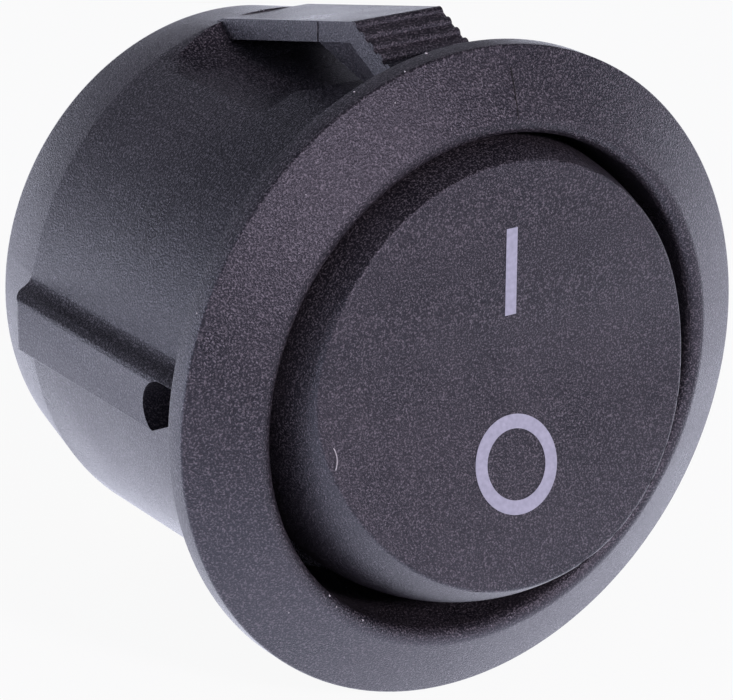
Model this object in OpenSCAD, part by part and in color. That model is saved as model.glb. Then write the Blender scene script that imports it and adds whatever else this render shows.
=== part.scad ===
// Round snap-in panel rocker switch: one pole, on and off, two tab terminals.
// The origin is the centre of the panel seat, the rear face of the bezel.
// -Y faces the user, +Y runs back through the panel, +Z is the "I" end of the rocker.
// The model shows the switch with its "I" end pressed in and its contacts closed.

/* [Bezel] */
// Outer diameter of the bezel
bezel_d = 23; // [22.5:0.1:28]
// Height of the bezel's crest above the panel
bezel_h = 2.05; // [1.7:0.05:2.8]
// Thickness of the bezel's outer edge
rim_t = 0.85; // [0.5:0.05:1.4]
// Radius of the rounded lip between the crest and the opening
lip_r = 0.42; // [0.25:0.01:0.5]
// Radial gap between the rocker and the opening, before the rocker tilts
rocker_gap = 0.43; // [0.4:0.01:0.55]

/* [Body] */
// Diameter of the barrel that passes through the panel
barrel_d = 19.6; // [19.4:0.1:21]
// Depth of the body behind the panel seat
body_depth = 14.75; // [14.2:0.05:18]
// Length of the tapered lead-in at the rear
lead_len = 3; // [1:0.1:3.2]
// Amount that the lead-in takes off the radius
lead_in = 0.6; // [0.2:0.05:0.9]
// Thickness of the rear wall that holds the terminals
floor_t = 1.5; // [1.2:0.1:2.2]
// Wall left between the switch chamber and the wing pockets
pocket_wall = 1.2; // [0.8:0.1:1.5]

/* [Keys] */
// Width of the two key ribs
key_w = 1.74; // [1.4:0.02:2]
// Height of the key ribs above the barrel
key_h = 0.68; // [0.4:0.02:1]

/* [Snap wings] */
// Width of each wing
wing_w = 3.6; // [2.8:0.1:4.4]
// Thickness of each wing
wing_t = 0.75; // [0.5:0.05:1]
// Distance of the highest ridge from the barrel's axis
wing_reach = 11.55; // [11:0.05:12]
// Distance of the highest ridge behind the panel seat
wing_ridge_y = 3.85; // [3.5:0.05:4.4]
// Number of ridges on each wing
ridge_count = 5; // [3:1:5]
// Spacing of the ridges along the body
ridge_pitch = 0.5; // [0.4:0.02:0.56]
// Drop from each ridge to the next
ridge_drop = 0.245; // [0.15:0.005:0.3]
// Depth of the rear part of a wing pocket below the barrel's surface
pocket_depth = 1.2; // [0.9:0.05:1.4]
// Depth of the front part of a wing pocket
pocket_front_depth = 0.65; // [0.4:0.05:0.7]

/* [Rocker] */
// Width of the rocker across its flat sides, along its pivot
rocker_w = 15.1; // [14.4:0.02:15.4]
// Radius of the rocker's ball-shaped wall
ball_r = 8.31; // [7.9:0.01:8.4]
// Distance of the ball's centre in front of the pivot
ball_y = 1.88; // [1.6:0.02:2.1]
// Distance from the pivot to the valley of the face
rocker_h = 5.1; // [4.6:0.05:5.6]
// Angle between each half of the face and the rocker's base
half_angle = 7.4; // [6:0.1:10]
// Radius of the soft valley between the two halves
valley_r = 12; // [4:1:16]
// Tilt of the rocker to each side of its middle position
tilt = 8.5; // [7.5:0.1:9]
// Wall of the rocker
rocker_wall = 1.2; // [1:0.05:1.5]
// Distance of the pivot behind the panel seat
pivot_y = 2.2; // [2:0.05:2.4]
// Diameter of the pivot pins
pin_d = 1.9; // [1.5:0.05:2]
// Radial play of the pins in their holes
pin_play = 0.05; // [0.03:0.01:0.08]

/* [Plunger and spring] */
// Outer diameter of the stem that holds the spring
stem_d = 4.2; // [4:0.1:4.6]
// Diameter of the stem's bore
stem_bore_d = 2.7; // [2.5:0.05:3]
// Length of the stem behind the pivot
stem_len = 4.6; // [3.6:0.1:5]
// Radius of the plunger's round tip
tip_r = 0.9; // [0.7:0.05:1]
// Wire diameter of the spring
wire_d = 0.32; // [0.2:0.02:0.36]
// Number of turns of the spring
spring_turns = 8; // [5:1:10]

/* [Contacts] */
// Width of the terminal tabs
tab_w = 4.8; // [4:0.1:5]
// Thickness of the terminal strip
tab_t = 0.8; // [0.5:0.05:0.9]
// Length of the tabs behind the body
tab_len = 7.8; // [5:0.1:9]
// Diameter of the hole in each tab
tab_hole_d = 1.6; // [1:0.1:2]
// Distance of the contact terminal from the common terminal
terminal_pitch = 6; // [5.8:0.05:6.1]
// Thickness of the rocking contact strip
strip_t = 0.5; // [0.3:0.05:0.6]
// Width of the rocking contact strip
strip_w = 4.6; // [4:0.1:5]
// Length of each arm of the strip
arm_len = 5.6; // [5.4:0.05:5.8]
// Angle that each arm is bent back from the strip's middle
arm_bend = 5; // [3:0.5:6]
// Tilt of the strip to each side of its middle position
strip_tilt = 7; // [6:0.1:7.5]
// Diameter of the moving contact
contact_d = 2.4; // [2:0.1:2.6]

/* [Hidden] */
fine = 128;
ball_fine = 96;
eps = 0.05;

bezel_r = bezel_d / 2;
barrel_r = barrel_d / 2;
opening_r = ball_r + rocker_gap;
crest_y = -bezel_h;
rim_edge = 0.12;
rear_edge = 0.25;
floor_y = body_depth - floor_t;
lead_y = body_depth - lead_len;
well_y = pivot_y + 1.95;
well_fall = 0.3;
chamber_r = barrel_r - pocket_depth - pocket_wall;

key_end_r = 0.7;
key_root = 0.5;
key_end_y = lead_y + 0.1;
key_notch_front = 0.3;
key_notch_r = pin_d / 2 + pin_play - 0.02;
bore_wall = 0.6;
pin_inset = 0.09;

wing_slope = atan((wing_reach - barrel_r + 0.06) / (lead_y - wing_ridge_y));
wing_root = 0.6;
pocket_step_y = wing_ridge_y + 0.9;
pocket_front_y = 0.35;
groove_depth = 0.17;
head_heel = 1.0;
head_round = 0.12;
ridge_flat = 0.03;
wing_fillet = 0.2;
wing_thin_y = wing_ridge_y + 1.4;
wing_foot_y = lead_y - 0.3;

face_t = 1.3;
skirt_y = -1.0;
ear_y = 1.45;
ear_half = 2.0;
collar_d = 3.4;
web_t = 0.8;
web_end_y = skirt_y - 0.6;
root_sink = 0.4;
collar_gap = 0.13;
collar_x = sqrt(pow(opening_r, 2) - pow(collar_d / 2, 2)) - collar_gap;
pin_x = opening_r + bore_wall - pin_inset;

bore_end_y = -3.4;
bore_r = stem_bore_d / 2;
fulcrum_r = tab_t / 2;
fulcrum_play = 0.05;
contact_gap = 0.02;
plunger_gap = 0.05;
shelf_y = floor_y - tab_t;
moving_head = 0.5;
fixed_dome_r = 2.4;
fixed_rim_r = 1.3;
fixed_neck = 0.1;
shelf_inset = 0.2;
rivet_r = 0.6;
rivet_play = 0.02;
rivet_tail_r = 0.9;
rivet_tail = 0.25;
tail_room = 0.2;
slot_play = 0.03;
tab_nose = 0.9;
tab_hole_in = 3.2;
tab_bevel = 0.7;
tab_bevel_t = 0.25;
rivet_arm = 4.6;

// The contact strip's pivot lies in front of the fixed contact by the stack of parts between
// them, with the lower arm swung back to its closed place.
closed_angle = arm_bend + strip_tilt;
dome_drop = fixed_dome_r - sqrt(pow(fixed_dome_r, 2) - pow(fixed_rim_r, 2));
dome_top_y = shelf_y - fixed_neck - dome_drop;
dome_centre_y = dome_top_y + fixed_dome_r;
fulcrum_y = dome_centre_y - (fixed_dome_r + contact_gap) * cos(closed_angle)
          - rivet_arm * sin(closed_angle)
          + (fulcrum_r + fulcrum_play - moving_head) * cos(closed_angle);
fixed_z = (fixed_dome_r + contact_gap) * sin(closed_angle) - rivet_arm * cos(closed_angle)
        - (fulcrum_r + fulcrum_play - moving_head) * sin(closed_angle);
horn_w = 0.6;
horn_rise = 0.9;
horn_play = 0.1;
horn_front_y = fulcrum_y - fulcrum_r - strip_t - horn_rise;
waist_half = 0.9;
waist_w = tab_w - 2 * (horn_w + horn_play);
pedestal_h = 1.0;
pedestal_w = tab_w + 1.6;
pedestal_half = 1.5;
stop_gap = 0.04;
stop_t = 1.5;
stop_in = 1.2;

// The plunger's tip just clears the middle of the strip as the rocker passes its middle.
tip_reach = fulcrum_y - pivot_y - fulcrum_r - fulcrum_play - strip_t - plunger_gap;
plunger_front = stem_len - 2.0;
plunger_body_end = stem_len + 1.2;
plunger_play = 0.05;
spigot_len = 1.2;
shoulder_len = 0.5;
coil_play = 0.08;
coil_seat = 0.02;

// Points of an arc about a centre, from one angle to another.
function arc(centre, r, from, to, steps) =
    [for (i = [0:steps]) centre + r * [cos(from + (to - from) * i / steps),
                                       sin(from + (to - from) * i / steps)]];

// A profile of [radius, depth] points turned about the body's axis.
module turned(points) {
    rotate([-90, 0, 0])
        rotate_extrude($fn = fine)
            polygon(points);
}

// A round bar or hole along the body's axis, from one depth to another.
module bar_y(r, from, to) {
    translate([0, from, 0])
        rotate([-90, 0, 0])
            cylinder(r = r, h = to - from, $fn = fine);
}

// A round bar or hole along the pivot's direction.
module bar_x(r, from, to) {
    translate([from, 0, 0])
        rotate([0, 90, 0])
            cylinder(r = r, h = to - from, $fn = fine);
}

// A [depth, height] outline made into a slab across the body.
module slab_x(points, w) {
    translate([-w / 2, 0, 0])
        rotate([90, 0, 90])
            linear_extrude(w)
                polygon(points);
}

// A box given by its lowest and highest corners.
module block(low, high) {
    translate(low)
        cube(high - low);
}

// ---- Housing ----

// Bezel, barrel and rear wall, with the well for the rocker and the chamber for the contacts.
module housing_body() {
    crest_c = [opening_r + lip_r, crest_y + lip_r];
    slope = atan((bezel_h - rim_t - rim_edge) / (bezel_r - rim_edge - crest_c[0]));
    turned(concat(
        [[opening_r, well_y]],
        arc(crest_c, lip_r, -180, -90 + slope, 14),
        [[bezel_r - rim_edge, -rim_t - rim_edge / 2], [bezel_r, -rim_t + rim_edge], [bezel_r, 0],
         [barrel_r, 0], [barrel_r, lead_y], [barrel_r - lead_in, body_depth - rear_edge],
         [barrel_r - lead_in - rear_edge, body_depth], [0, body_depth], [0, floor_y],
         [chamber_r, floor_y], [chamber_r, well_y + well_fall]]));
}

// Key rib on one side, rounded down to the barrel at its rear end.
module key_rib() {
    top = barrel_r + key_h;
    root = barrel_r - key_root;
    block([root, 0, -key_w / 2], [top, key_end_y - key_end_r, key_w / 2]);
    block([root, 0, -key_w / 2], [top - key_end_r, key_end_y, key_w / 2]);
    translate([top - key_end_r, key_end_y - key_end_r, -key_w / 2])
        cylinder(r = key_end_r, h = key_w, $fn = fine);
}

// Notch in the rib's front end, round behind, that opens onto the pivot hole.
module key_notch() {
    outside = barrel_r + key_h + 1;
    floor_x = opening_r + bore_wall;
    r = key_notch_r;
    intersection() {
        union() {
            translate([0, pivot_y, 0])
                bar_x(r, floor_x, outside);
            block([floor_x, key_notch_front, -r], [outside, pivot_y, r]);
        }
        block([floor_x, 0, -key_w / 2], [outside, body_depth, key_w / 2]);
    }
}

// Pocket cut in the barrel round a wing, in two depths.
module wing_pocket() {
    far = barrel_r * 2;
    rear_z = barrel_r - pocket_depth;
    front_z = barrel_r - pocket_front_depth;
    block([-far, pocket_step_y - eps, rear_z], [far, lead_y, far]);
    block([-far, pocket_front_y, front_z], [far, pocket_step_y, far]);
}

// Outline of a wing: ramp, ridges, head and underside, as [depth, height] points.
function wing_outline() =
    let (run = lead_y + wing_root - wing_ridge_y,
         root_z = wing_reach - run * tan(wing_slope),
         under = wing_t / cos(wing_slope),
         last = ridge_count - 1,
         foot = [wing_ridge_y - last * ridge_pitch, wing_reach - last * ridge_drop])
    concat(
        [[lead_y + wing_root, root_z - wing_fillet],
         [lead_y, root_z + wing_root * tan(wing_slope)],
         [wing_ridge_y + head_round, wing_reach - head_round * tan(wing_slope)]],
        [for (i = [0:last], p = [0:2])
            let (y = wing_ridge_y - i * ridge_pitch, z = wing_reach - i * ridge_drop)
            p == 0 ? [y, z] :
            p == 1 ? [y - ridge_pitch * 0.3, z - ridge_flat] :
                     [y - ridge_pitch * 0.52, z - groove_depth - ridge_drop * 0.5]],
        [[foot[0] - ridge_pitch * 0.75, foot[1] - head_heel * 0.75],
         [foot[0] - ridge_pitch * 0.5, foot[1] - head_heel],
         [foot[0] + ridge_pitch * 0.7, foot[1] - head_heel],
         [wing_thin_y, root_z + (lead_y + wing_root - wing_thin_y) * tan(wing_slope) - under],
         [wing_foot_y, root_z + (lead_y + wing_root - wing_foot_y) * tan(wing_slope) - under],
         [lead_y, root_z + wing_root * tan(wing_slope) - under - wing_fillet],
         [lead_y + wing_root, root_z - under - wing_fillet]]);

// Spring wing with its serrated head, rooted at the rear end of its pocket.
module wing() {
    slab_x(wing_outline(), wing_w);
}

// Pedestal, stop and slots that carry the terminals on the rear wall.
module terminal_seats() {
    stop_front = fulcrum_y - (fulcrum_r + fulcrum_play) * cos(closed_angle)
               + arm_len * sin(closed_angle) + stop_gap;
    stop_z = (arm_len - stop_in) * cos(closed_angle);
    block([-pedestal_w / 2, floor_y - pedestal_h, -pedestal_half],
          [pedestal_w / 2, floor_y + eps, pedestal_half]);
    block([-strip_w / 2, stop_front, stop_z], [strip_w / 2, floor_y + eps, stop_z + stop_t]);
}

module terminal_slots() {
    w = tab_w / 2 + slot_play;
    t = tab_t / 2 + slot_play;
    for (z = [0, -terminal_pitch])
        block([-w, floor_y - pedestal_h - eps, z - t], [w, body_depth + eps, z + t]);
    translate([0, 0, fixed_z])
        bar_y(rivet_tail_r + tail_room, floor_y - eps, floor_y + rivet_tail + tail_room / 2);
}

module housing() {
    color("#2b2a2f")
    difference() {
        union() {
            difference() {
                union() {
                    housing_body();
                    for (side = [0, 180])
                        rotate([0, side, 0])
                            key_rib();
                }
                for (side = [0, 180])
                    rotate([0, side, 0]) {
                        wing_pocket();
                        key_notch();
                    }
            }
            for (side = [0, 180])
                rotate([0, side, 0])
                    wing();
            terminal_seats();
        }
        translate([0, pivot_y, 0])
            bar_x(pin_d / 2 + pin_play, -barrel_r - key_h - 1, barrel_r + key_h + 1);
        terminal_slots();
    }
}

// ---- Rocker ----

// Puts a piece drawn about the pivot into the pressed position.
module on_rocker() {
    translate([0, pivot_y, 0])
        rotate([-tilt, 0, 0])
            children();
}

// Ball-shaped body of the rocker with its flat sides, grown or shrunk.
module rocker_body(grow) {
    half = rocker_w / 2 + grow;
    far = ball_r * 2;
    intersection() {
        translate([0, -ball_y, 0])
            rotate([0, 90, 0])
                sphere(r = ball_r + grow, $fn = ball_fine);
        block([-half, -far, -far], [half, far, far]);
    }
}

// Space in front of the face: two flats with a soft valley, moved back by a depth.
function face_space(back) =
    let (c = -rocker_h + back - valley_r, far = ball_r * 2,
         foot_y = c + valley_r * cos(half_angle), foot_z = valley_r * sin(half_angle),
         end_y = foot_y - (far - foot_z) * tan(half_angle))
    concat([[-rocker_h - far, -far], [end_y, -far]],
           arc([c, 0], valley_r, -half_angle, half_angle, 10),
           [[end_y, far], [-rocker_h - far, far]]);

// Shell of the rocker with its face, side walls, ears and hollow underside.
module rocker_shell() {
    far = ball_r * 2;
    difference() {
        rocker_body(0);
        slab_x(face_space(0), far);
        difference() {
            rocker_body(-rocker_wall);
            slab_x(face_space(face_t), far);
        }
        block([-far, ear_y, -far], [far, far, far]);
        for (s = [-1, 1])
            block([-far, skirt_y, s > 0 ? ear_half : -far],
                  [far, far, s > 0 ? far : -ear_half]);
    }
}

// Stem that carries the spring and guides the plunger.
module rocker_stem() {
    web_x = (rocker_w - rocker_wall) / 2;
    difference() {
        union() {
            bar_y(stem_d / 2, -rocker_h + face_t - root_sink, stem_len);
            block([-web_x, -rocker_h + face_t - root_sink / 2, -web_t / 2],
                  [web_x, web_end_y, web_t / 2]);
        }
        bar_y(bore_r, bore_end_y, stem_len + eps);
    }
}

module rocker() {
    color("#2e2d33")
    on_rocker() {
        difference() {
            union() {
                rocker_shell();
                for (s = [0, 180])
                    rotate([0, s, 0]) {
                        bar_x(collar_d / 2, rocker_w / 2 - rocker_wall, collar_x);
                        bar_x(pin_d / 2, rocker_w / 2 - rocker_wall, pin_x);
                    }
            }
            slab_x(face_space(0), ball_r * 2);
        }
        rocker_stem();
    }
}

// ---- Plunger and spring ----

module plunger() {
    body_r = bore_r - plunger_play;
    spigot_r = bore_r - 2 * wire_d - coil_play - coil_seat - plunger_play;
    color("#e9e4d6")
    on_rocker()
        turned(concat(
            [[0, plunger_front - spigot_len], [spigot_r, plunger_front - spigot_len],
             [spigot_r, plunger_front], [body_r, plunger_front], [body_r, plunger_body_end],
             [tip_r, plunger_body_end + shoulder_len]],
            arc([0, tip_reach - tip_r], tip_r, 0, 90, 8)));
}

// A ring of points round the wire, at one angle along the coil.
function coil_ring(a, r, y, wire_r, sides) =
    [for (k = [0:sides - 1])
        let (b = 360 * k / sides, d = r + wire_r * cos(b))
        [d * cos(a), y + wire_r * sin(b), d * sin(a)]];

// Compression spring with closed end turns, as one swept coil.
module spring() {
    sides = 8;
    per_turn = 18;
    wire_r = wire_d / 2;
    coil_r = bore_r - coil_play - wire_r;
    from = bore_end_y + wire_r + coil_seat;
    to = plunger_front - wire_r - coil_seat;
    steps = spring_turns * per_turn;
    closed = 1.5 / spring_turns;
    rise_end = wire_d * 1.06 * 1.5;
    body = to - from - 2 * rise_end;
    height = function (t)
        t < closed ? rise_end * t / closed :
        t > 1 - closed ? to - from - rise_end * (1 - t) / closed :
        rise_end + body * (t - closed) / (1 - 2 * closed);
    rings = [for (i = [0:steps])
        coil_ring(360 * spring_turns * i / steps, coil_r, from + height(i / steps), wire_r, sides)];
    points = [for (ring = rings) each ring];
    walls = [for (i = [0:steps - 1], k = [0:sides - 1])
        let (a = i * sides + k, b = i * sides + (k + 1) % sides)
        each [[a, b, b + sides], [a, b + sides, a + sides]]];
    first = [for (k = [1:sides - 2]) [0, k + 1, k]];
    last = [for (k = [1:sides - 2]) [steps * sides, steps * sides + k, steps * sides + k + 1]];
    color("#b9bdc2")
    on_rocker()
        polyhedron(points = points, faces = concat(walls, first, last));
}

// ---- Contacts ----

// Puts a piece drawn about the fulcrum into the closed position.
module on_strip() {
    translate([0, fulcrum_y, 0])
        rotate([strip_tilt, 0, 0])
            children();
}

// Turns a piece from the strip's middle to the line of one arm.
module along_arm(side) {
    rotate([side < 0 ? arm_bend : -arm_bend, 0, 0])
        children();
}

module contact_strip() {
    inner = fulcrum_r + fulcrum_play;
    outer = inner + strip_t;
    color("#c8793f")
    on_strip()
        difference() {
            union() {
                for (side = [-1, 1])
                    along_arm(side)
                        block([-strip_w / 2, -outer, side < 0 ? -arm_len : 0],
                              [strip_w / 2, -inner, side < 0 ? 0 : arm_len]);
                intersection() {
                    bar_x(outer, -strip_w / 2, strip_w / 2);
                    block([-strip_w, -outer, -outer * sin(arm_bend)],
                          [strip_w, -inner * 0.9, outer * sin(arm_bend)]);
                }
            }
            bar_x(inner, -strip_w, strip_w);
            for (s = [-1, 1])
                block([s > 0 ? waist_w / 2 : -strip_w, -outer - 1, -waist_half],
                      [s > 0 ? strip_w : -waist_w / 2, 0, waist_half]);
            along_arm(-1)
                translate([0, 0, -rivet_arm])
                    bar_y(rivet_r + rivet_play, -outer - 1, 0);
        }
}

module moving_contact() {
    inner = fulcrum_r + fulcrum_play;
    outer = inner + strip_t;
    color("#d9d9dc")
    on_strip()
        along_arm(-1)
            translate([0, 0, -rivet_arm]) {
                bar_y(contact_d / 2, -inner, -inner + moving_head);
                bar_y(rivet_r, -outer - rivet_tail / 2, -inner + eps);
                bar_y(rivet_tail_r, -outer - rivet_tail, -outer);
            }
}

// Flat tab with a chamfered end and its locking hole, centred on one height.
module tab(z, from) {
    tip_y = body_depth + tab_len;
    nose = tab_nose;
    difference() {
        translate([0, 0, z - tab_t / 2])
            linear_extrude(tab_t)
                polygon([[-tab_w / 2, from], [tab_w / 2, from], [tab_w / 2, tip_y - nose],
                         [tab_w / 2 - nose, tip_y], [-tab_w / 2 + nose, tip_y],
                         [-tab_w / 2, tip_y - nose]]);
        translate([0, tip_y - tab_hole_in, z - tab_t])
            cylinder(d = tab_hole_d, h = 2 * tab_t, $fn = fine);
        for (s = [0, 180])
            translate([0, tip_y, z])
                rotate([0, s, 0])
                    slab_x([[-tab_bevel, tab_t / 2 + eps], [eps, tab_t / 2 + eps],
                            [eps, tab_t / 2 - tab_bevel_t]], tab_w * 2);
    }
}

// Common terminal: its round inner edge is the strip's fulcrum, between two horns.
module common_terminal() {
    color("#c9a24a")
    union() {
        tab(0, fulcrum_y);
        translate([0, fulcrum_y, 0])
            bar_x(fulcrum_r, -tab_w / 2, tab_w / 2);
        for (s = [-1, 1])
            block([s > 0 ? tab_w / 2 - horn_w : -tab_w / 2, horn_front_y, -tab_t / 2],
                  [s > 0 ? tab_w / 2 : -tab_w / 2 + horn_w, fulcrum_y + eps, tab_t / 2]);
    }
}

// Contact terminal: bent over inside to make the shelf that carries the fixed contact.
module contact_terminal() {
    color("#c9a24a")
    difference() {
        union() {
            tab(-terminal_pitch, shelf_y);
            block([-tab_w / 2, shelf_y, -terminal_pitch - tab_t / 2],
                  [tab_w / 2, floor_y, fixed_z + fixed_rim_r - shelf_inset]);
        }
        translate([0, 0, fixed_z])
            bar_y(rivet_r + rivet_play, shelf_y - 1, floor_y + 1);
    }
}

module fixed_contact() {
    dome_angle = asin(fixed_rim_r / fixed_dome_r);
    color("#d9d9dc")
    translate([0, 0, fixed_z])
        turned(concat(
            arc([0, dome_centre_y], fixed_dome_r, -90, -90 + dome_angle, 6),
            [[fixed_rim_r, shelf_y], [rivet_r, shelf_y], [rivet_r, floor_y],
             [rivet_tail_r, floor_y], [rivet_tail_r, floor_y + rivet_tail],
             [0, floor_y + rivet_tail]]));
}

housing();
rocker();
spring();
plunger();
contact_strip();
moving_contact();
common_terminal();
contact_terminal();
fixed_contact();
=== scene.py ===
from math import atan, cos, pi, radians, sin, tan

import bpy
from mathutils import Matrix, Vector


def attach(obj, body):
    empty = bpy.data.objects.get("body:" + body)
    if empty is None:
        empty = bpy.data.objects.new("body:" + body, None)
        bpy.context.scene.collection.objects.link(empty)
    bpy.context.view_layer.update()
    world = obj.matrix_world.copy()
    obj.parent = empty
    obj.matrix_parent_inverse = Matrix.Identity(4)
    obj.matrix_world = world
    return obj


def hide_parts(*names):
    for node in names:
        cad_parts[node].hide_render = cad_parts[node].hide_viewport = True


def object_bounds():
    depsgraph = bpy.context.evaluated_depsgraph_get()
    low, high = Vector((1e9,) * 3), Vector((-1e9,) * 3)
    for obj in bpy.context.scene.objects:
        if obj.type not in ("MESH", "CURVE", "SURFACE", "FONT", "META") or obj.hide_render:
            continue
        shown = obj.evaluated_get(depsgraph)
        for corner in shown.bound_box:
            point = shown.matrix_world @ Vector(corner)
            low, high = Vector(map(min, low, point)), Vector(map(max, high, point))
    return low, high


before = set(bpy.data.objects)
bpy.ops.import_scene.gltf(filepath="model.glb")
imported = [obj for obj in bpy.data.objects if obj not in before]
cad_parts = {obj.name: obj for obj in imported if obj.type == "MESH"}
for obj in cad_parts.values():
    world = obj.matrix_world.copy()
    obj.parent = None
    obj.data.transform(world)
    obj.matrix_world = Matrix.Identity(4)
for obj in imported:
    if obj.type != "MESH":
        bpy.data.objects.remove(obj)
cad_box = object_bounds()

# ---- Studio ----
# The switch stands on its bezel's lowest edge on a white table in a white room, with a soft key
# lamp high in front and a weak fill from the left. A dark ceiling and a grey card on the table,
# which the camera does not see, darken what the black nylon mirrors.

MM = 0.001
view_from = Vector((-67.218, -89.316, 43.968)) * MM
view_right = Vector((0.818383, -0.574455, 0.015838))
view_up = Vector((0.195754, 0.304575, 0.932156))
view_lens = 173.6

camera_data = bpy.data.cameras.new("camera")
camera_data.lens = view_lens
camera_data.sensor_width = 36
camera_data.clip_start = 0.01
camera = bpy.data.objects.new("camera", camera_data)
view_back = view_right.cross(view_up)
camera.matrix_world = Matrix.Translation(view_from) @ Matrix(
    (view_right, view_up, view_back)).transposed().to_4x4()
bpy.context.scene.collection.objects.link(camera)
bpy.context.scene.camera = camera
bpy.context.scene.view_settings.view_transform = "Standard"


def seen_directly(tree):
    """A value of 1 for rays that show the background itself: camera, glossy and transmission."""
    path = tree.nodes.new("ShaderNodeLightPath")
    total = path.outputs["Is Camera Ray"]
    for ray in ("Is Glossy Ray", "Is Transmission Ray"):
        add = tree.nodes.new("ShaderNodeMath")
        add.operation = "MAXIMUM"
        tree.links.new(total, add.inputs[0])
        tree.links.new(path.outputs[ray], add.inputs[1])
        total = add.outputs[0]
    return total


world = bpy.data.worlds.new("white_room")
bpy.context.scene.world = world
world.use_nodes = True
room = world.node_tree
room.nodes.clear()
room_out = room.nodes.new("ShaderNodeOutputWorld")
room_mix = room.nodes.new("ShaderNodeMixShader")
room_glow = room.nodes.new("ShaderNodeBackground")
room_glow.inputs["Color"].default_value = (0.80, 0.84, 1.0, 1)
room_glow.inputs["Strength"].default_value = 0.36
room_white = room.nodes.new("ShaderNodeBackground")
room_white.inputs["Strength"].default_value = 1.0
room_path = room.nodes.new("ShaderNodeLightPath")
room_tint = room.nodes.new("ShaderNodeMix")
room_tint.data_type = "RGBA"
room_tint.inputs["A"].default_value = (0.36, 0.36, 0.43, 1)
room_tint.inputs["B"].default_value = (1.1, 1.1, 1.1, 1)
room.links.new(room_path.outputs["Is Camera Ray"], room_tint.inputs["Factor"])
room.links.new(room_tint.outputs["Result"], room_white.inputs["Color"])
room.links.new(seen_directly(room), room_mix.inputs["Fac"])
room.links.new(room_glow.outputs[0], room_mix.inputs[1])
room.links.new(room_white.outputs[0], room_mix.inputs[2])
room.links.new(room_mix.outputs[0], room_out.inputs["Surface"])

floor_z = cad_box[0][2] - 0.05 * MM
floor_size = 3.0
bpy.ops.object.select_all(action="DESELECT")
bpy.ops.mesh.primitive_plane_add(size=floor_size, location=(0, 0, floor_z))
floor = bpy.context.object
floor.name = "table"
table_white = bpy.data.materials.new("table_white")
table_white.use_nodes = True
table = table_white.node_tree
table.nodes.clear()
table_out = table.nodes.new("ShaderNodeOutputMaterial")
table_mix = table.nodes.new("ShaderNodeMixShader")
table_glow_share = table.nodes.new("ShaderNodeMath")
table_glow_share.operation = "MULTIPLY"
table_glow_share.inputs[1].default_value = 0.93
table_matt = table.nodes.new("ShaderNodeBsdfDiffuse")
table_matt.inputs["Color"].default_value = (0.86, 0.88, 0.92, 1)
table_glow = table.nodes.new("ShaderNodeEmission")
table_path = table.nodes.new("ShaderNodeLightPath")
table_tint = table.nodes.new("ShaderNodeMix")
table_tint.data_type = "RGBA"
table_tint.inputs["A"].default_value = (1, 1, 1, 1)
table_tint.inputs["B"].default_value = (1.9, 1.94, 2.26, 1)
table.links.new(table_path.outputs["Is Glossy Ray"], table_tint.inputs["Factor"])
table.links.new(table_tint.outputs["Result"], table_glow.inputs["Color"])
table.links.new(seen_directly(table), table_glow_share.inputs[0])
table.links.new(table_glow_share.outputs[0], table_mix.inputs["Fac"])
table.links.new(table_matt.outputs[0], table_mix.inputs[1])
table.links.new(table_glow.outputs[0], table_mix.inputs[2])
table.links.new(table_mix.outputs[0], table_out.inputs["Surface"])
floor.data.materials.append(table_white)


def mirrored_board(name, size, place, material):
    """A level board that the switch mirrors, unseen by the camera and by diffuse light."""
    bpy.ops.object.select_all(action="DESELECT")
    bpy.ops.mesh.primitive_plane_add(size=size, location=place)
    board = bpy.context.object
    board.name = name
    board.visible_camera = False
    board.visible_diffuse = False
    board.data.materials.append(material)
    return board


ceiling_matt = bpy.data.materials.new("ceiling_matt")
ceiling_matt.use_nodes = True
ceiling_shader = ceiling_matt.node_tree.nodes["Principled BSDF"]
ceiling_shader.inputs["Base Color"].default_value = (0.03, 0.028, 0.03, 1)
ceiling_shader.inputs["Roughness"].default_value = 1.0
mirrored_board("dark_ceiling", 0.9, (0, 0.1, 0.3), ceiling_matt)

card_grey = bpy.data.materials.new("card_grey")
card_grey.use_nodes = True
card_tree = card_grey.node_tree
card_tree.nodes.clear()
card_out = card_tree.nodes.new("ShaderNodeOutputMaterial")
card_glow = card_tree.nodes.new("ShaderNodeEmission")
card_glow.inputs["Color"].default_value = (0.92, 0.9, 1, 1)
card_glow.inputs["Strength"].default_value = 0.25
card_tree.links.new(card_glow.outputs[0], card_out.inputs["Surface"])
card_size = 0.3
card_near_y = -0.018
card_z = floor_z + 0.2 * MM
card = mirrored_board("grey_card", card_size, (0, card_near_y - card_size / 2, card_z), card_grey)
card.visible_shadow = False


def soft_lamp(name, place, aim, size, watts, colour):
    """A square soft box at a place, turned towards a point."""
    data = bpy.data.lights.new(name, "AREA")
    data.shape = "SQUARE"
    data.size = size
    data.energy = watts
    data.color = colour
    lamp = bpy.data.objects.new(name, data)
    lamp.location = place
    lamp.rotation_euler = (Vector(aim) - Vector(place)).to_track_quat("-Z", "Y").to_euler()
    bpy.context.scene.collection.objects.link(lamp)


soft_lamp("key_lamp", (0.005, -0.305, 0.122), (0, 0, 0), 0.04, 0.60, (1.0, 0.86, 0.96))
soft_lamp("fill_lamp", (-0.30, 0.10, -0.002), (0, 0.005, 0), 0.08, 0.5, (0.80, 0.86, 1.0))


# ---- Housing ----
# The bezel and the barrel behind it are one moulding in black glass-filled nylon. The tool was
# spark eroded, so every outer face carries a fine grain. Two key ribs stop it turning in the
# panel, and two serrated wings spring out behind the panel and hold it.

bezel_r = 11.5
bezel_h = 2.05
rim_t = 0.85
rim_round = 0.12
lip_r = 0.42
opening_r = 8.74
barrel_r = 9.8
chamber_r = 7.4
well_y = 4.15
floor_y = 13.25
lead_y = 11.75
body_depth = 14.75
lead_in = 0.6
rear_edge = 0.25
turn_steps = 224
weld_gap = 0.0002


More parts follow.
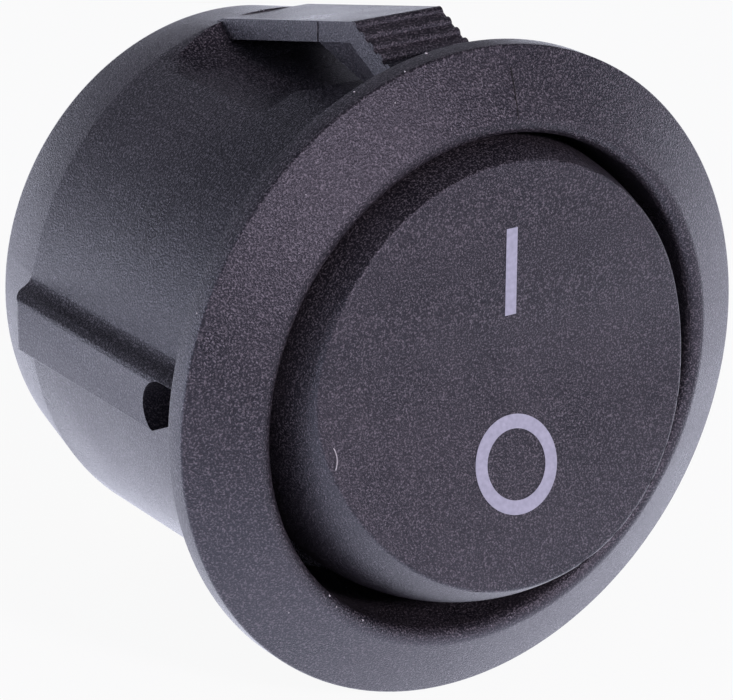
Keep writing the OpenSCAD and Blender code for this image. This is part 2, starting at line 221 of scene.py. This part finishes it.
def arc(centre, radius, start, end, steps):
    """Points along an arc, as (across, along) pairs, angles in degrees."""
    turns = [radians(start + (end - start) * i / steps) for i in range(steps + 1)]
    return [(centre[0] + radius * cos(a), centre[1] + radius * sin(a)) for a in turns]


def start_piece(name):
    """One loose vertex at the origin, in edit mode, ready to be drawn from."""
    bpy.ops.object.select_all(action="DESELECT")
    bpy.ops.mesh.primitive_plane_add(size=MM, location=(0, 0, 0))
    piece = bpy.context.object
    piece.name = name
    bpy.ops.object.mode_set(mode="EDIT")
    bpy.ops.mesh.select_all(action="SELECT")
    bpy.ops.mesh.merge(type="CENTER")
    bpy.ops.mesh.select_all(action="SELECT")
    return piece


def tidy_shell():
    """Welds the seam of what is being edited, turns its faces out and leaves edit mode."""
    bpy.ops.mesh.select_all(action="SELECT")
    bpy.ops.mesh.remove_doubles(threshold=weld_gap * MM)
    bpy.ops.mesh.normals_make_consistent(inside=False)
    bpy.ops.object.mode_set(mode="OBJECT")


def slab(name, corners, travel):
    """An outline drawn corner by corner in millimetres, filled and pulled out into a slab."""
    corners = [Vector(c) * MM for c in corners]
    piece = start_piece(name)
    bpy.ops.transform.translate(value=corners[0])
    for here, there in zip(corners, corners[1:] + corners[:1]):
        bpy.ops.mesh.extrude_vertices_move(TRANSFORM_OT_translate={"value": there - here})
    bpy.ops.mesh.select_all(action="SELECT")
    bpy.ops.mesh.remove_doubles(threshold=weld_gap * MM)
    bpy.ops.mesh.edge_face_add()
    bpy.ops.mesh.extrude_region_move(TRANSFORM_OT_translate={"value": Vector(travel) * MM})
    tidy_shell()
    return piece


def turned_shell(name, profile):
    """A profile of (radius, depth) points swept round the body's axis, with flat ends."""
    piece = start_piece(name)
    first_r, first_y = profile[0]
    bpy.ops.transform.translate(value=(first_r * MM, first_y * MM, 0))
    for (r, y), (next_r, next_y) in zip(profile, profile[1:]):
        bpy.ops.mesh.extrude_vertices_move(
            TRANSFORM_OT_translate={"value": ((next_r - r) * MM, (next_y - y) * MM, 0)})
    bpy.ops.mesh.select_all(action="SELECT")
    bpy.ops.mesh.spin(steps=turn_steps, angle=2 * pi, center=(0, 0, 0), axis=(0, 1, 0))
    bpy.ops.mesh.select_all(action="SELECT")
    bpy.ops.mesh.remove_doubles(threshold=weld_gap * MM)
    for r, y in (profile[0], profile[-1]):
        bpy.ops.mesh.select_all(action="DESELECT")
        bpy.ops.object.mode_set(mode="OBJECT")
        for vertex in piece.data.vertices:
            vertex.select = (abs(vertex.co.y - y * MM) < 1e-7
                             and abs(Vector((vertex.co.x, vertex.co.z)).length - r * MM) < 1e-7)
        bpy.ops.object.mode_set(mode="EDIT")
        bpy.ops.mesh.edge_face_add()
    tidy_shell()
    return piece


def combine(body, tool, operation):
    """Welds a tool piece to a body or cuts it out of it, then clears the tool away."""
    bpy.ops.object.select_all(action="DESELECT")
    bpy.context.view_layer.objects.active = body
    body.select_set(True)
    modifier = body.modifiers.new("join", "BOOLEAN")
    modifier.operation = operation
    modifier.solver = "EXACT"
    modifier.object = tool
    bpy.ops.object.modifier_apply(modifier=modifier.name)
    bpy.data.objects.remove(tool)


def half_turn(piece):
    """A copy of a piece turned half round the body's axis."""
    other = piece.copy()
    other.data = piece.data.copy()
    bpy.context.scene.collection.objects.link(other)
    other.data.transform(Matrix.Rotation(pi, 4, "Y"))
    return other


crest_in = opening_r + lip_r
slope_out = 180 / pi * atan((bezel_h - rim_t - rim_round) / (bezel_r - rim_round - crest_in))
housing_profile = (
    [(chamber_r, floor_y), (chamber_r, well_y + 0.3), (opening_r, well_y)]
    + arc((crest_in, -bezel_h + lip_r), lip_r, -180, -90 + slope_out, 24)
    + arc((bezel_r - rim_round, -rim_t + rim_round), rim_round, -90 + slope_out, 0, 6)
    + arc((bezel_r - 0.05, -0.05), 0.05, 0, 90, 3)
    + [(barrel_r + 0.05, 0), (barrel_r, 0.05), (barrel_r, lead_y)]
    + arc((barrel_r - lead_in - rear_edge, body_depth - rear_edge), rear_edge, 12, 90, 6))
housing = turned_shell("housing_moulding", housing_profile)

pocket_step_y = 4.75
pocket_front_y = 0.35
pocket_rear_z = 8.6
pocket_front_z = 9.15
ramp_y = 10.1
ramp_middle = (11.1, 8.95)
ramp_end_z = 9.55


def brick(name, low, high):
    """A rectangular slab between two corners, in millimetres."""
    outline = [(low[0], low[1], low[2]), (high[0], low[1], low[2]),
               (high[0], high[1], low[2]), (low[0], high[1], low[2])]
    return slab(name, outline, (0, 0, high[2] - low[2]))


clear_r = 14
rear_pocket = [(pocket_step_y - 0.05, pocket_rear_z), (ramp_y, pocket_rear_z), ramp_middle,
               (lead_y, ramp_end_z), (lead_y, clear_r), (pocket_step_y - 0.05, clear_r)]
for pocket in (slab("pocket", [(-12, y, z) for y, z in rear_pocket], (24, 0, 0)),
               brick("pocket", (-12, pocket_front_y, pocket_front_z), (12, pocket_step_y, clear_r))):
    combine(housing, half_turn(pocket), "DIFFERENCE")
    combine(housing, pocket, "DIFFERENCE")

key_w = 1.74
key_h = 0.68
key_end_y = 11.85
key_end_r = 0.5
key_top = barrel_r + key_h
key_outline = ([(-barrel_r + 0.6, -0.05), (-key_top, -0.05)]
               + arc((-key_top + key_end_r, key_end_y - key_end_r), key_end_r, 180, 90, 10)
               + [(-barrel_r + 0.6, key_end_y)])
key_foot_z = 1.75
key_foot_line = [(-10.4, 1.02), (-10.2, 1.17), (-9.96, 1.27), (-9.8, 1.38), (-9.70, 1.52),
                 (-9.60, key_foot_z)]
key_chamfer = 0.04
key_rib = slab("key_rib", [(x, y, -key_foot_z) for x, y in key_outline], (0, 0, 2 * key_foot_z))
above = ([(-key_top - 1, 3), (-key_top - 1, key_w / 2), (-key_top, key_w / 2)]
         + key_foot_line + [(key_foot_line[-1][0], 3)])
under = [(-key_top - 0.3, -key_w / 2 + 0.3 + key_chamfer),
         (-key_top + 0.3, -key_w / 2 - 0.3 + key_chamfer), (-key_top - 0.3, -2)]
combine(key_rib, slab("key_side", [(x, -1, z) for x, z in above], (0, 15, 0)), "DIFFERENCE")
combine(key_rib, brick("key_side", (-12, -1, -3), (-8, 14, -key_w / 2)), "DIFFERENCE")
combine(key_rib, slab("key_side", [(x, -1, z) for x, z in under], (0, 15, 0)), "DIFFERENCE")
combine(housing, half_turn(key_rib), "UNION")
combine(housing, key_rib, "UNION")

pivot_y = 2.2
notch_r = 0.98
notch_front = 0.3
notch_floor = opening_r + 0.6
notch_outline = ([(notch_front, -notch_r)] + arc((pivot_y, 0), notch_r, -90, 90, 20)
                 + [(notch_front, notch_r)])
notch = slab("notch", [(-notch_floor, y, max(-key_w / 2 - 0.002, z)) for y, z in notch_outline],
             (-3, 0, 0))
combine(housing, half_turn(notch), "DIFFERENCE")
combine(housing, notch, "DIFFERENCE")

wing_w = 3.6
wing_t = 0.75
wing_reach = 11.55
ridge_y = 3.85
ridge_count = 5
ridge_pitch = 0.5
ridge_drop = 0.245
ridge_r = 0.21
wing_slope = atan((wing_reach - barrel_r + 0.06) / (lead_y - ridge_y))
wing_root = 0.6


def wing_top(y):
    """Height of a wing's sloping top at a depth."""
    return wing_reach - (y - ridge_y) * tan(wing_slope)


head_y = ridge_y - (ridge_count - 1) * ridge_pitch
head_z = wing_reach - (ridge_count - 1) * ridge_drop
leg_top = (3.93, 10.79)
leg_end = (1.72, 9.57)
heel_back = (5.75, 10.36)
heel_low = (4.0, 9.4)
heel_taper = 0.72
wing_outline = [
    (lead_y + wing_root, wing_top(lead_y + wing_root) - 0.15), (lead_y, wing_top(lead_y)),
    (ridge_y, wing_reach - 0.02), (head_y - 0.2, head_z - 0.22), (head_y - 0.4, head_z - 0.75),
    (head_y - 0.25, head_z - 1.0), leg_end, leg_top,
    (lead_y - 0.3, wing_top(lead_y - 0.3) - wing_t),
    (lead_y, wing_top(lead_y) - wing_t - 0.2),
    (lead_y + wing_root, wing_top(lead_y + wing_root) - wing_t - 0.2)]
wing = slab("wing", [(-wing_w / 2, y, z) for y, z in wing_outline], (wing_w, 0, 0))
for i in range(ridge_count):
    crest = (ridge_y - i * ridge_pitch - 0.08, wing_reach - i * ridge_drop - 0.2)
    ridge = arc(crest, ridge_r, 0, 342, 19)
    ridge_bar = slab("ridge", [(-wing_w / 2 + 0.01, y, z) for y, z in ridge], (wing_w - 0.02, 0, 0))
    combine(wing, ridge_bar, "UNION")

heel_line = [heel_back, (leg_top[0], leg_top[1] + 0.12), (leg_end[0] + 0.3, leg_end[1] + 0.3),
             leg_end, heel_low]
heel = slab("wing_heel", [(-wing_w / 2 + 0.004, y, z) for y, z in heel_line], (wing_w - 0.008, 0, 0))
for vertex in heel.data.vertices:
    if abs(vertex.co.y / MM - heel_low[0]) < 0.001 and abs(vertex.co.z / MM - heel_low[1]) < 0.001:
        vertex.co.x *= heel_taper
bpy.context.view_layer.objects.active = heel
bpy.ops.object.mode_set(mode="EDIT")
bpy.ops.mesh.select_all(action="SELECT")
bpy.ops.mesh.quads_convert_to_tris()
bpy.ops.object.mode_set(mode="OBJECT")
combine(wing, heel, "UNION")

seam_y = 5.82
seam_step = 0.035
arm = [(seam_y, wing_top(seam_y) - seam_step), (lead_y, wing_top(lead_y) - seam_step),
       (lead_y, wing_top(lead_y) - wing_t), (seam_y, wing_top(seam_y) - wing_t + 0.01)]
combine(wing, slab("wing_arm", [(-wing_w / 2 - seam_step, y, z) for y, z in arm],
                   (wing_w + 2 * seam_step, 0, 0)), "UNION")
combine(housing, half_turn(wing), "UNION")
combine(housing, wing, "UNION")

terminal_pitch = 6.0
slot_w = 4.86
slot_t = 0.86
for z in (0, -terminal_pitch):
    slot = brick("slot", (-slot_w / 2, floor_y - 1.05, z - slot_t / 2),
                 (slot_w / 2, body_depth + 1, z + slot_t / 2))
    combine(housing, slot, "DIFFERENCE")


def smooth(piece, angle):
    """Shades a piece smoothly where its faces meet at less than an angle."""
    bpy.ops.object.select_all(action="DESELECT")
    bpy.context.view_layer.objects.active = piece
    piece.select_set(True)
    bpy.ops.object.shade_smooth_by_angle(angle=radians(angle))


def moulded_skin(name, dark, pale, roughness, grain, depth):
    """Moulded plastic with an eroded grain: an uneven tone, pale flecks and a fine bump."""
    material = bpy.data.materials.new(name)
    material.use_nodes = True
    tree = material.node_tree
    shader = tree.nodes["Principled BSDF"]
    shader.inputs["Specular Tint"].default_value = (0.84, 0.85, 1.0, 1)
    where = tree.nodes.new("ShaderNodeTexCoord").outputs["Object"]

    def noise(scale, detail, rough):
        node = tree.nodes.new("ShaderNodeTexNoise")
        node.inputs["Scale"].default_value = scale
        node.inputs["Detail"].default_value = detail
        node.inputs["Roughness"].default_value = rough
        tree.links.new(where, node.inputs["Vector"])
        return node.outputs["Fac"]

    def spread(value, low, high, to_low, to_high):
        node = tree.nodes.new("ShaderNodeMapRange")
        node.inputs["From Min"].default_value = low
        node.inputs["From Max"].default_value = high
        node.inputs["To Min"].default_value = to_low
        node.inputs["To Max"].default_value = to_high
        tree.links.new(value, node.inputs["Value"])
        return node.outputs["Result"]

    fine = noise(1 / (grain * MM), 2.0, 0.55)
    clouds = noise(1 / (3.2 * MM), 3.0, 0.5)
    tone = tree.nodes.new("ShaderNodeMix")
    tone.data_type = "RGBA"
    tone.inputs["A"].default_value = (*dark, 1)
    tone.inputs["B"].default_value = (*pale, 1)
    fleck = spread(fine, 0.50, 0.70, 0.0, 1.0)
    lift = spread(clouds, 0.3, 0.7, 0.0, 0.08)
    both = tree.nodes.new("ShaderNodeMath")
    both.operation = "ADD"
    both.use_clamp = True
    tree.links.new(fleck, both.inputs[0])
    tree.links.new(lift, both.inputs[1])
    tree.links.new(both.outputs[0], tone.inputs["Factor"])
    tree.links.new(tone.outputs["Result"], shader.inputs["Base Color"])
    tree.links.new(spread(clouds, 0.3, 0.7, roughness - 0.04, roughness + 0.05),
                   shader.inputs["Roughness"])
    bump = tree.nodes.new("ShaderNodeBump")
    bump.inputs["Strength"].default_value = 1.0
    bump.inputs["Distance"].default_value = depth * MM
    tree.links.new(fine, bump.inputs["Height"])
    tree.links.new(bump.outputs["Normal"], shader.inputs["Normal"])
    return material


black_nylon = moulded_skin(
    "black_nylon", (0.009, 0.008, 0.012), (0.155, 0.138, 0.158), 0.30, grain=0.066, depth=0.036)
housing.data.materials.append(black_nylon)
smooth(housing, 32)
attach(housing, "housing")
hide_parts("housing")


# ---- Rocker ----
# The tilting button is a second black nylon moulding, a ball-shaped cap with two flat faces that
# meet in a soft valley. Its skirt drops into the housing, and two pins on its ears are the pivot.

side_press = 0.987
ball_r = 8.31
ball_y = 1.88
rocker_h = 5.1
half_angle = 7.4
valley_r = 12
tilt = 8.5
rocker_wall = 1.2
face_t = 1.3
skirt_y = -1.0
ear_y = 1.45
ear_half = 2.0
edge_round = 0.09


def ball_body(grow):
    """The ball the rocker is cut from, a little flatter at its sides, grown or shrunk."""
    bpy.ops.object.select_all(action="DESELECT")
    bpy.ops.mesh.primitive_uv_sphere_add(segments=192, ring_count=128, radius=(ball_r + grow) * MM,
                                         location=(0, -ball_y * MM, 0), rotation=(0, pi / 2, 0))
    ball = bpy.context.object
    bpy.ops.object.transform_apply(location=True, rotation=True, scale=True)
    bpy.ops.object.mode_set(mode="EDIT")
    bpy.ops.mesh.select_all(action="SELECT")
    bpy.ops.transform.resize(value=(side_press, 1, 1))
    bpy.ops.object.mode_set(mode="OBJECT")
    return ball


def face_line(back):
    """Side view of the face as (y, z) points, moved back by a depth."""
    centre = -rocker_h + back - valley_r
    foot_y = centre + valley_r * cos(radians(half_angle))
    foot_z = valley_r * sin(radians(half_angle))
    far = 2 * ball_r
    end_y = foot_y - (far - foot_z) * tan(radians(half_angle))
    return ([(-rocker_h - far, -far), (end_y, -far)]
            + arc((centre, 0), valley_r, -half_angle, half_angle, 16)
            + [(end_y, far), (-rocker_h - far, far)])


def rocker_cutter(back):
    """A block as wide as the ball that takes away all in front of the face."""
    return slab("face_cutter", [(-10, y, z) for y, z in face_line(back)], (20, 0, 0))


rocker = ball_body(0)
rocker.name = "rocker_moulding"
combine(rocker, rocker_cutter(0), "DIFFERENCE")


def select_edges(piece, wanted):
    """Selects a piece's sharp edges whose two ends a test accepts, and stays in edit mode."""
    bpy.ops.object.select_all(action="DESELECT")
    bpy.context.view_layer.objects.active = piece
    piece.select_set(True)
    bpy.ops.object.mode_set(mode="EDIT")
    bpy.ops.mesh.select_mode(type="EDGE")
    bpy.ops.mesh.select_all(action="DESELECT")
    bpy.ops.mesh.edges_select_sharp(sharpness=radians(40))
    bpy.ops.object.mode_set(mode="OBJECT")
    points = piece.data.vertices
    for edge in piece.data.edges:
        a, b = (points[i].co / MM for i in edge.vertices)
        edge.select = edge.select and wanted(a, b)
    for vertex in points:
        vertex.select = False
    bpy.ops.object.mode_set(mode="EDIT")


select_edges(rocker, lambda a, b: max(a.y, b.y) < -rocker_h + 1)
bpy.ops.mesh.remove_doubles(threshold=0.07 * MM)
bpy.ops.mesh.bevel(offset=edge_round * MM, segments=3, affect="EDGES", loop_slide=False)
bpy.ops.object.mode_set(mode="OBJECT")

inside = ball_body(-rocker_wall)
combine(inside, rocker_cutter(face_t), "DIFFERENCE")
combine(rocker, inside, "DIFFERENCE")
skirt_line = [(skirt_y, -10), (skirt_y, -ear_half), (ear_y, -ear_half), (ear_y, ear_half),
              (skirt_y, ear_half), (skirt_y, 10), (20, 10), (20, -10)]
skirt_trim = slab("skirt_trim", [(-10, y, z) for y, z in skirt_line], (20, 0, 0))
combine(rocker, skirt_trim, "DIFFERENCE")

pin_r = 0.95
pin_x = 9.25
collar_r = 1.7
collar_x = 8.44
stem_r = 2.1
stem_bore_r = 1.35
stem_len = 4.6


def bar(name, radius, start, end, along):
    """A round bar along the pivot or along the body, in millimetres."""
    round_points = arc((0, 0), radius, 0, 352.5, 47)
    if along == "x":
        return slab(name, [(start, y, z) for y, z in round_points], (end - start, 0, 0))
    return slab(name, [(x, start, z) for x, z in round_points], (0, end - start, 0))


stem = bar("stem", stem_r, -rocker_h + face_t - 0.4, stem_len, "y")
combine(rocker, stem, "UNION")
combine(rocker, bar("bore", stem_bore_r, -3.4, stem_len + 1, "y"), "DIFFERENCE")
for sign in (-1, 1):
    for radius, reach in ((collar_r, collar_x), (pin_r, pin_x)):
        start, end = sorted((sign * (ball_r - rocker_wall), sign * reach))
        combine(rocker, bar("pin", radius, start, end, "x"), "UNION")
smooth(rocker, 32)
pressed = (Matrix.Translation((0, pivot_y * MM, 0)) @ Matrix.Rotation(radians(-tilt), 4, "X"))
rocker.data.transform(pressed)

rocker_nylon = moulded_skin(
    "rocker_nylon", (0.009, 0.008, 0.012), (0.150, 0.134, 0.154), 0.33, grain=0.062, depth=0.036)
rocker.data.materials.append(rocker_nylon)
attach(rocker, "rocker")
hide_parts("rocker")


# ---- Printed marks ----
# The I and the O are pad printed on the two halves of the face in pale lavender ink. The film
# is a few hundredths of a millimetre thick and takes on the grain of the nylon under it.

ink_t = 0.012
mark_bar = (0.455, 3.0)
mark_bar_at = (0.2, 3.51)
mark_ring = (1.685, 1.2)
mark_ring_at = (-0.03, -3.08)


def print_film(piece):
    """Lays a flat mark onto the rocker's face and gives the ink its thickness."""
    bpy.ops.object.select_all(action="DESELECT")
    bpy.context.view_layer.objects.active = piece
    piece.select_set(True)
    piece.matrix_world = pressed
    wrap = piece.modifiers.new("lay", "SHRINKWRAP")
    wrap.wrap_method = "PROJECT"
    wrap.use_project_y = True
    wrap.use_positive_direction = True
    wrap.target = rocker
    wrap.offset = 0.002 * MM
    bpy.ops.object.modifier_apply(modifier=wrap.name)
    # A flat mark has no inside, so its faces are turned to the user before the ink thickens.
    if piece.data.polygons[0].normal.y > 0:
        piece.data.flip_normals()
    film = piece.modifiers.new("film", "SOLIDIFY")
    film.thickness = ink_t * MM
    film.offset = 1
    bpy.ops.object.modifier_apply(modifier=film.name)
    bpy.ops.object.transform_apply(location=True, rotation=True, scale=True)
    piece.data.materials.append(mark_ink)
    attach(piece, "rocker")


def mottled(name, grain, dark, pale, roughness, relief=0):
    """A matt finish that drifts between two tones, with a slight relief where one is given."""
    material = bpy.data.materials.new(name)
    material.use_nodes = True
    tree = material.node_tree
    shader = tree.nodes["Principled BSDF"]
    shader.inputs["Roughness"].default_value = roughness
    where = tree.nodes.new("ShaderNodeTexCoord")
    noise = tree.nodes.new("ShaderNodeTexNoise")
    noise.inputs["Scale"].default_value = 1 / (grain * MM)
    noise.inputs["Detail"].default_value = 2
    tone = tree.nodes.new("ShaderNodeMix")
    tone.data_type = "RGBA"
    tone.inputs["A"].default_value = (*dark, 1)
    tone.inputs["B"].default_value = (*pale, 1)
    tree.links.new(where.outputs["Object"], noise.inputs["Vector"])
    tree.links.new(noise.outputs["Fac"], tone.inputs["Factor"])
    tree.links.new(tone.outputs["Result"], shader.inputs["Base Color"])
    if relief:
        bump = tree.nodes.new("ShaderNodeBump")
        bump.inputs["Distance"].default_value = relief * MM
        tree.links.new(noise.outputs["Fac"], bump.inputs["Height"])
        tree.links.new(bump.outputs["Normal"], shader.inputs["Normal"])
    return material


mark_ink = mottled("mark_ink", 0.16, (0.31, 0.32, 0.41), (0.55, 0.56, 0.67), 0.55, relief=0.006)

bpy.ops.object.select_all(action="DESELECT")
bpy.ops.mesh.primitive_grid_add(x_subdivisions=4, y_subdivisions=16, size=2, rotation=(pi / 2, 0, 0))
mark_i = bpy.context.object
mark_i.name = "mark_I"
bpy.ops.object.transform_apply(location=True, rotation=True, scale=True)
bpy.ops.object.mode_set(mode="EDIT")
bpy.ops.mesh.select_all(action="SELECT")
bpy.ops.transform.resize(value=(mark_bar[0] / 2 * MM, 1, mark_bar[1] / 2 * MM))
bpy.ops.transform.translate(value=(mark_bar_at[0] * MM, (-rocker_h - 2) * MM, mark_bar_at[1] * MM))
bpy.ops.object.mode_set(mode="OBJECT")
print_film(mark_i)

bpy.ops.object.select_all(action="DESELECT")
bpy.ops.mesh.primitive_circle_add(vertices=96, radius=mark_ring[0] * MM, rotation=(pi / 2, 0, 0))
mark_o = bpy.context.object
mark_o.name = "mark_O"
bpy.ops.object.transform_apply(location=True, rotation=True, scale=True)
bpy.ops.object.mode_set(mode="EDIT")
bpy.ops.mesh.select_all(action="SELECT")
ring_rows = 4
ring_ratio = (mark_ring[1] / mark_ring[0]) ** (1 / ring_rows)
for row in range(ring_rows):
    bpy.ops.mesh.extrude_region_move()
    bpy.ops.transform.resize(value=(ring_ratio, ring_ratio, ring_ratio))
bpy.ops.mesh.select_all(action="SELECT")
bpy.ops.mesh.normals_make_consistent(inside=False)
bpy.ops.transform.translate(value=(mark_ring_at[0] * MM, (-rocker_h - 2) * MM, mark_ring_at[1] * MM))
bpy.ops.object.mode_set(mode="OBJECT")
print_film(mark_o)


# ---- Dust ----
# Pale moulding dust clings to the bezel and its rim, and two short fibres lie on the switch.
# Nothing fixes them; they follow the piece that they lie on.

speck_size = 0.042
bezel_line = (9.16, -2.03, 11.44, -0.86)
bezel_specks = [(9.65, 224.5, 1.2), (8.86, 223, 1.0), (9.0, 226.5, 0.7), (10.15, 220, 0.9),
                (8.92, 235, 1.0), (10.6, 132, 0.6), (10.9, 109, 0.7), (9.9, 150, 0.6)]
rim_specks = [(-0.12, 98, 1.1), (-0.72, 104.5, 0.7), (-0.2, 113, 0.7), (-0.45, 158, 0.6)]
dust_pale = mottled("dust_pale", 0.05, (0.42, 0.40, 0.42), (0.85, 0.82, 0.85), 0.8)


def bezel_depth(reach):
    """Depth of the bezel's sloping face at a distance from the body's axis."""
    inner_r, inner_y, outer_r, outer_y = bezel_line
    return inner_y + max(reach - inner_r, 0) / (outer_r - inner_r) * (outer_y - inner_y)


def round_place(reach, angle, depth):
    """A point at a distance and an angle round the body's axis, in millimetres."""
    return Vector((reach * cos(radians(angle)), depth, reach * sin(radians(angle))))


specks = [(reach, angle, bezel_depth(reach), size) for reach, angle, size in bezel_specks]
specks += [(bezel_r, angle, depth, size) for depth, angle, size in rim_specks]
bpy.ops.object.select_all(action="DESELECT")
grains = []
for reach, angle, depth, size in specks:
    bpy.ops.mesh.primitive_ico_sphere_add(
        subdivisions=2, radius=speck_size * size * MM, location=round_place(reach, angle, depth) * MM,
        rotation=(reach, angle, depth), scale=(1.3, 0.8, 1.0))
    bpy.ops.object.transform_apply(location=True, rotation=True, scale=True)
    grains.append(bpy.context.object)
for grain in grains:
    grain.select_set(True)
bpy.context.view_layer.objects.active = grains[0]
bpy.ops.object.join()
dust = bpy.context.object
dust.name = "dust"
dust.data.materials.append(dust_pale)
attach(dust, "housing")


def fibre(name, thickness, points, material, body):
    """A thin thread laid through points in millimetres, riding one body."""
    bpy.ops.object.select_all(action="DESELECT")
    bpy.ops.curve.primitive_nurbs_path_add(radius=MM, location=(0, 0, 0))
    thread = bpy.context.object
    thread.name = name
    thread.data.bevel_depth = thickness / 2 * MM
    thread.data.bevel_resolution = 2
    thread.data.splines[0].resolution_u = 6
    for knot, point in zip(thread.data.splines[0].points, points):
        knot.co = (*(Vector(point) * MM), 1)
    bpy.ops.object.convert(target="MESH")
    thread = bpy.context.object
    thread.data.materials.append(material)
    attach(thread, body)


fibre_w = 0.035
bow_middle = Vector((-7.01, -3.155, -0.585))
bow_half = Vector((-0.025, -0.105, -0.345))
bow_rise = Vector((-0.125, 0, 0))
bow = [bow_middle + along * bow_half + along ** 2 * bow_rise for along in (-1, -0.5, 0, 0.5, 1)]
fibre("pale_fibre", fibre_w, bow, dust_pale, "rocker")

hair_tip = Vector((1.04, -1.21, 10.80))
hair_bend = Vector((1.02, -1.42, 10.41))
hair_end = Vector((0.81, -2.03, 9.26))
hair = [hair_tip] + [hair_bend.lerp(hair_end, i / 3) for i in range(4)]
dark_thread = mottled("dark_thread", 0.1, (0.006, 0.006, 0.007), (0.02, 0.018, 0.02), 0.7)
fibre("dark_fibre", fibre_w, hair, dark_thread, "housing")


# ---- Terminals and contacts ----
# The two tabs are stamped from brass strip and pressed through the rear wall. Inside, a bent
# strip of phosphor bronze rocks on the common terminal and carries a silver contact.


def rolled_metal(name, colour, worn, roughness, stretch):
    """Strip metal with the faint lines of rolling along the body."""
    material = bpy.data.materials.new(name)
    material.use_nodes = True
    tree = material.node_tree
    shader = tree.nodes["Principled BSDF"]
    shader.inputs["Metallic"].default_value = 1.0
    where = tree.nodes.new("ShaderNodeTexCoord")
    place = tree.nodes.new("ShaderNodeMapping")
    place.inputs["Scale"].default_value = stretch
    lines = tree.nodes.new("ShaderNodeTexNoise")
    lines.inputs["Scale"].default_value = 1 / (0.5 * MM)
    lines.inputs["Detail"].default_value = 5
    tone = tree.nodes.new("ShaderNodeMix")
    tone.data_type = "RGBA"
    tone.inputs["A"].default_value = (*colour, 1)
    tone.inputs["B"].default_value = (*worn, 1)
    rough = tree.nodes.new("ShaderNodeMapRange")
    rough.inputs["To Min"].default_value = roughness - 0.08
    rough.inputs["To Max"].default_value = roughness + 0.12
    bump = tree.nodes.new("ShaderNodeBump")
    bump.inputs["Distance"].default_value = 0.004 * MM
    tree.links.new(where.outputs["Object"], place.inputs["Vector"])
    tree.links.new(place.outputs["Vector"], lines.inputs["Vector"])
    tree.links.new(lines.outputs["Fac"], tone.inputs["Factor"])
    tree.links.new(lines.outputs["Fac"], rough.inputs["Value"])
    tree.links.new(lines.outputs["Fac"], bump.inputs["Height"])
    tree.links.new(tone.outputs["Result"], shader.inputs["Base Color"])
    tree.links.new(rough.outputs["Result"], shader.inputs["Roughness"])
    tree.links.new(bump.outputs["Normal"], shader.inputs["Normal"])
    return material


def finish_node(name, material):
    """Gives a node its finish in every slot."""
    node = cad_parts[name]
    if not node.material_slots:
        node.data.materials.append(material)
    for slot in node.material_slots:
        slot.material = material


terminal_brass = rolled_metal(
    "terminal_brass", (0.70, 0.52, 0.24), (0.83, 0.66, 0.36), 0.32, (6, 0.6, 6))
strip_bronze = rolled_metal("strip_bronze", (0.66, 0.36, 0.20), (0.78, 0.48, 0.30), 0.30, (6, 6, 0.6))
contact_silver = rolled_metal("contact_silver", (0.72, 0.72, 0.73), (0.88, 0.88, 0.88), 0.26, (3, 3, 3))
spring_steel = rolled_metal("spring_steel", (0.48, 0.49, 0.51), (0.66, 0.67, 0.69), 0.28, (4, 4, 4))
for node_name, metal in (("common_terminal", terminal_brass), ("contact_terminal", terminal_brass),
                         ("contact_strip", strip_bronze), ("moving_contact", contact_silver),
                         ("fixed_contact", contact_silver), ("spring", spring_steel)):
    finish_node(node_name, metal)


# ---- Plunger ----
# The plunger is moulded in natural acetal. It slides in the rocker's stem, and its round tip
# presses on the contact strip.

plunger_acetal = moulded_skin(
    "plunger_acetal", (0.72, 0.69, 0.60), (0.80, 0.77, 0.69), 0.38, grain=0.35, depth=0.004)
finish_node("plunger", plunger_acetal)
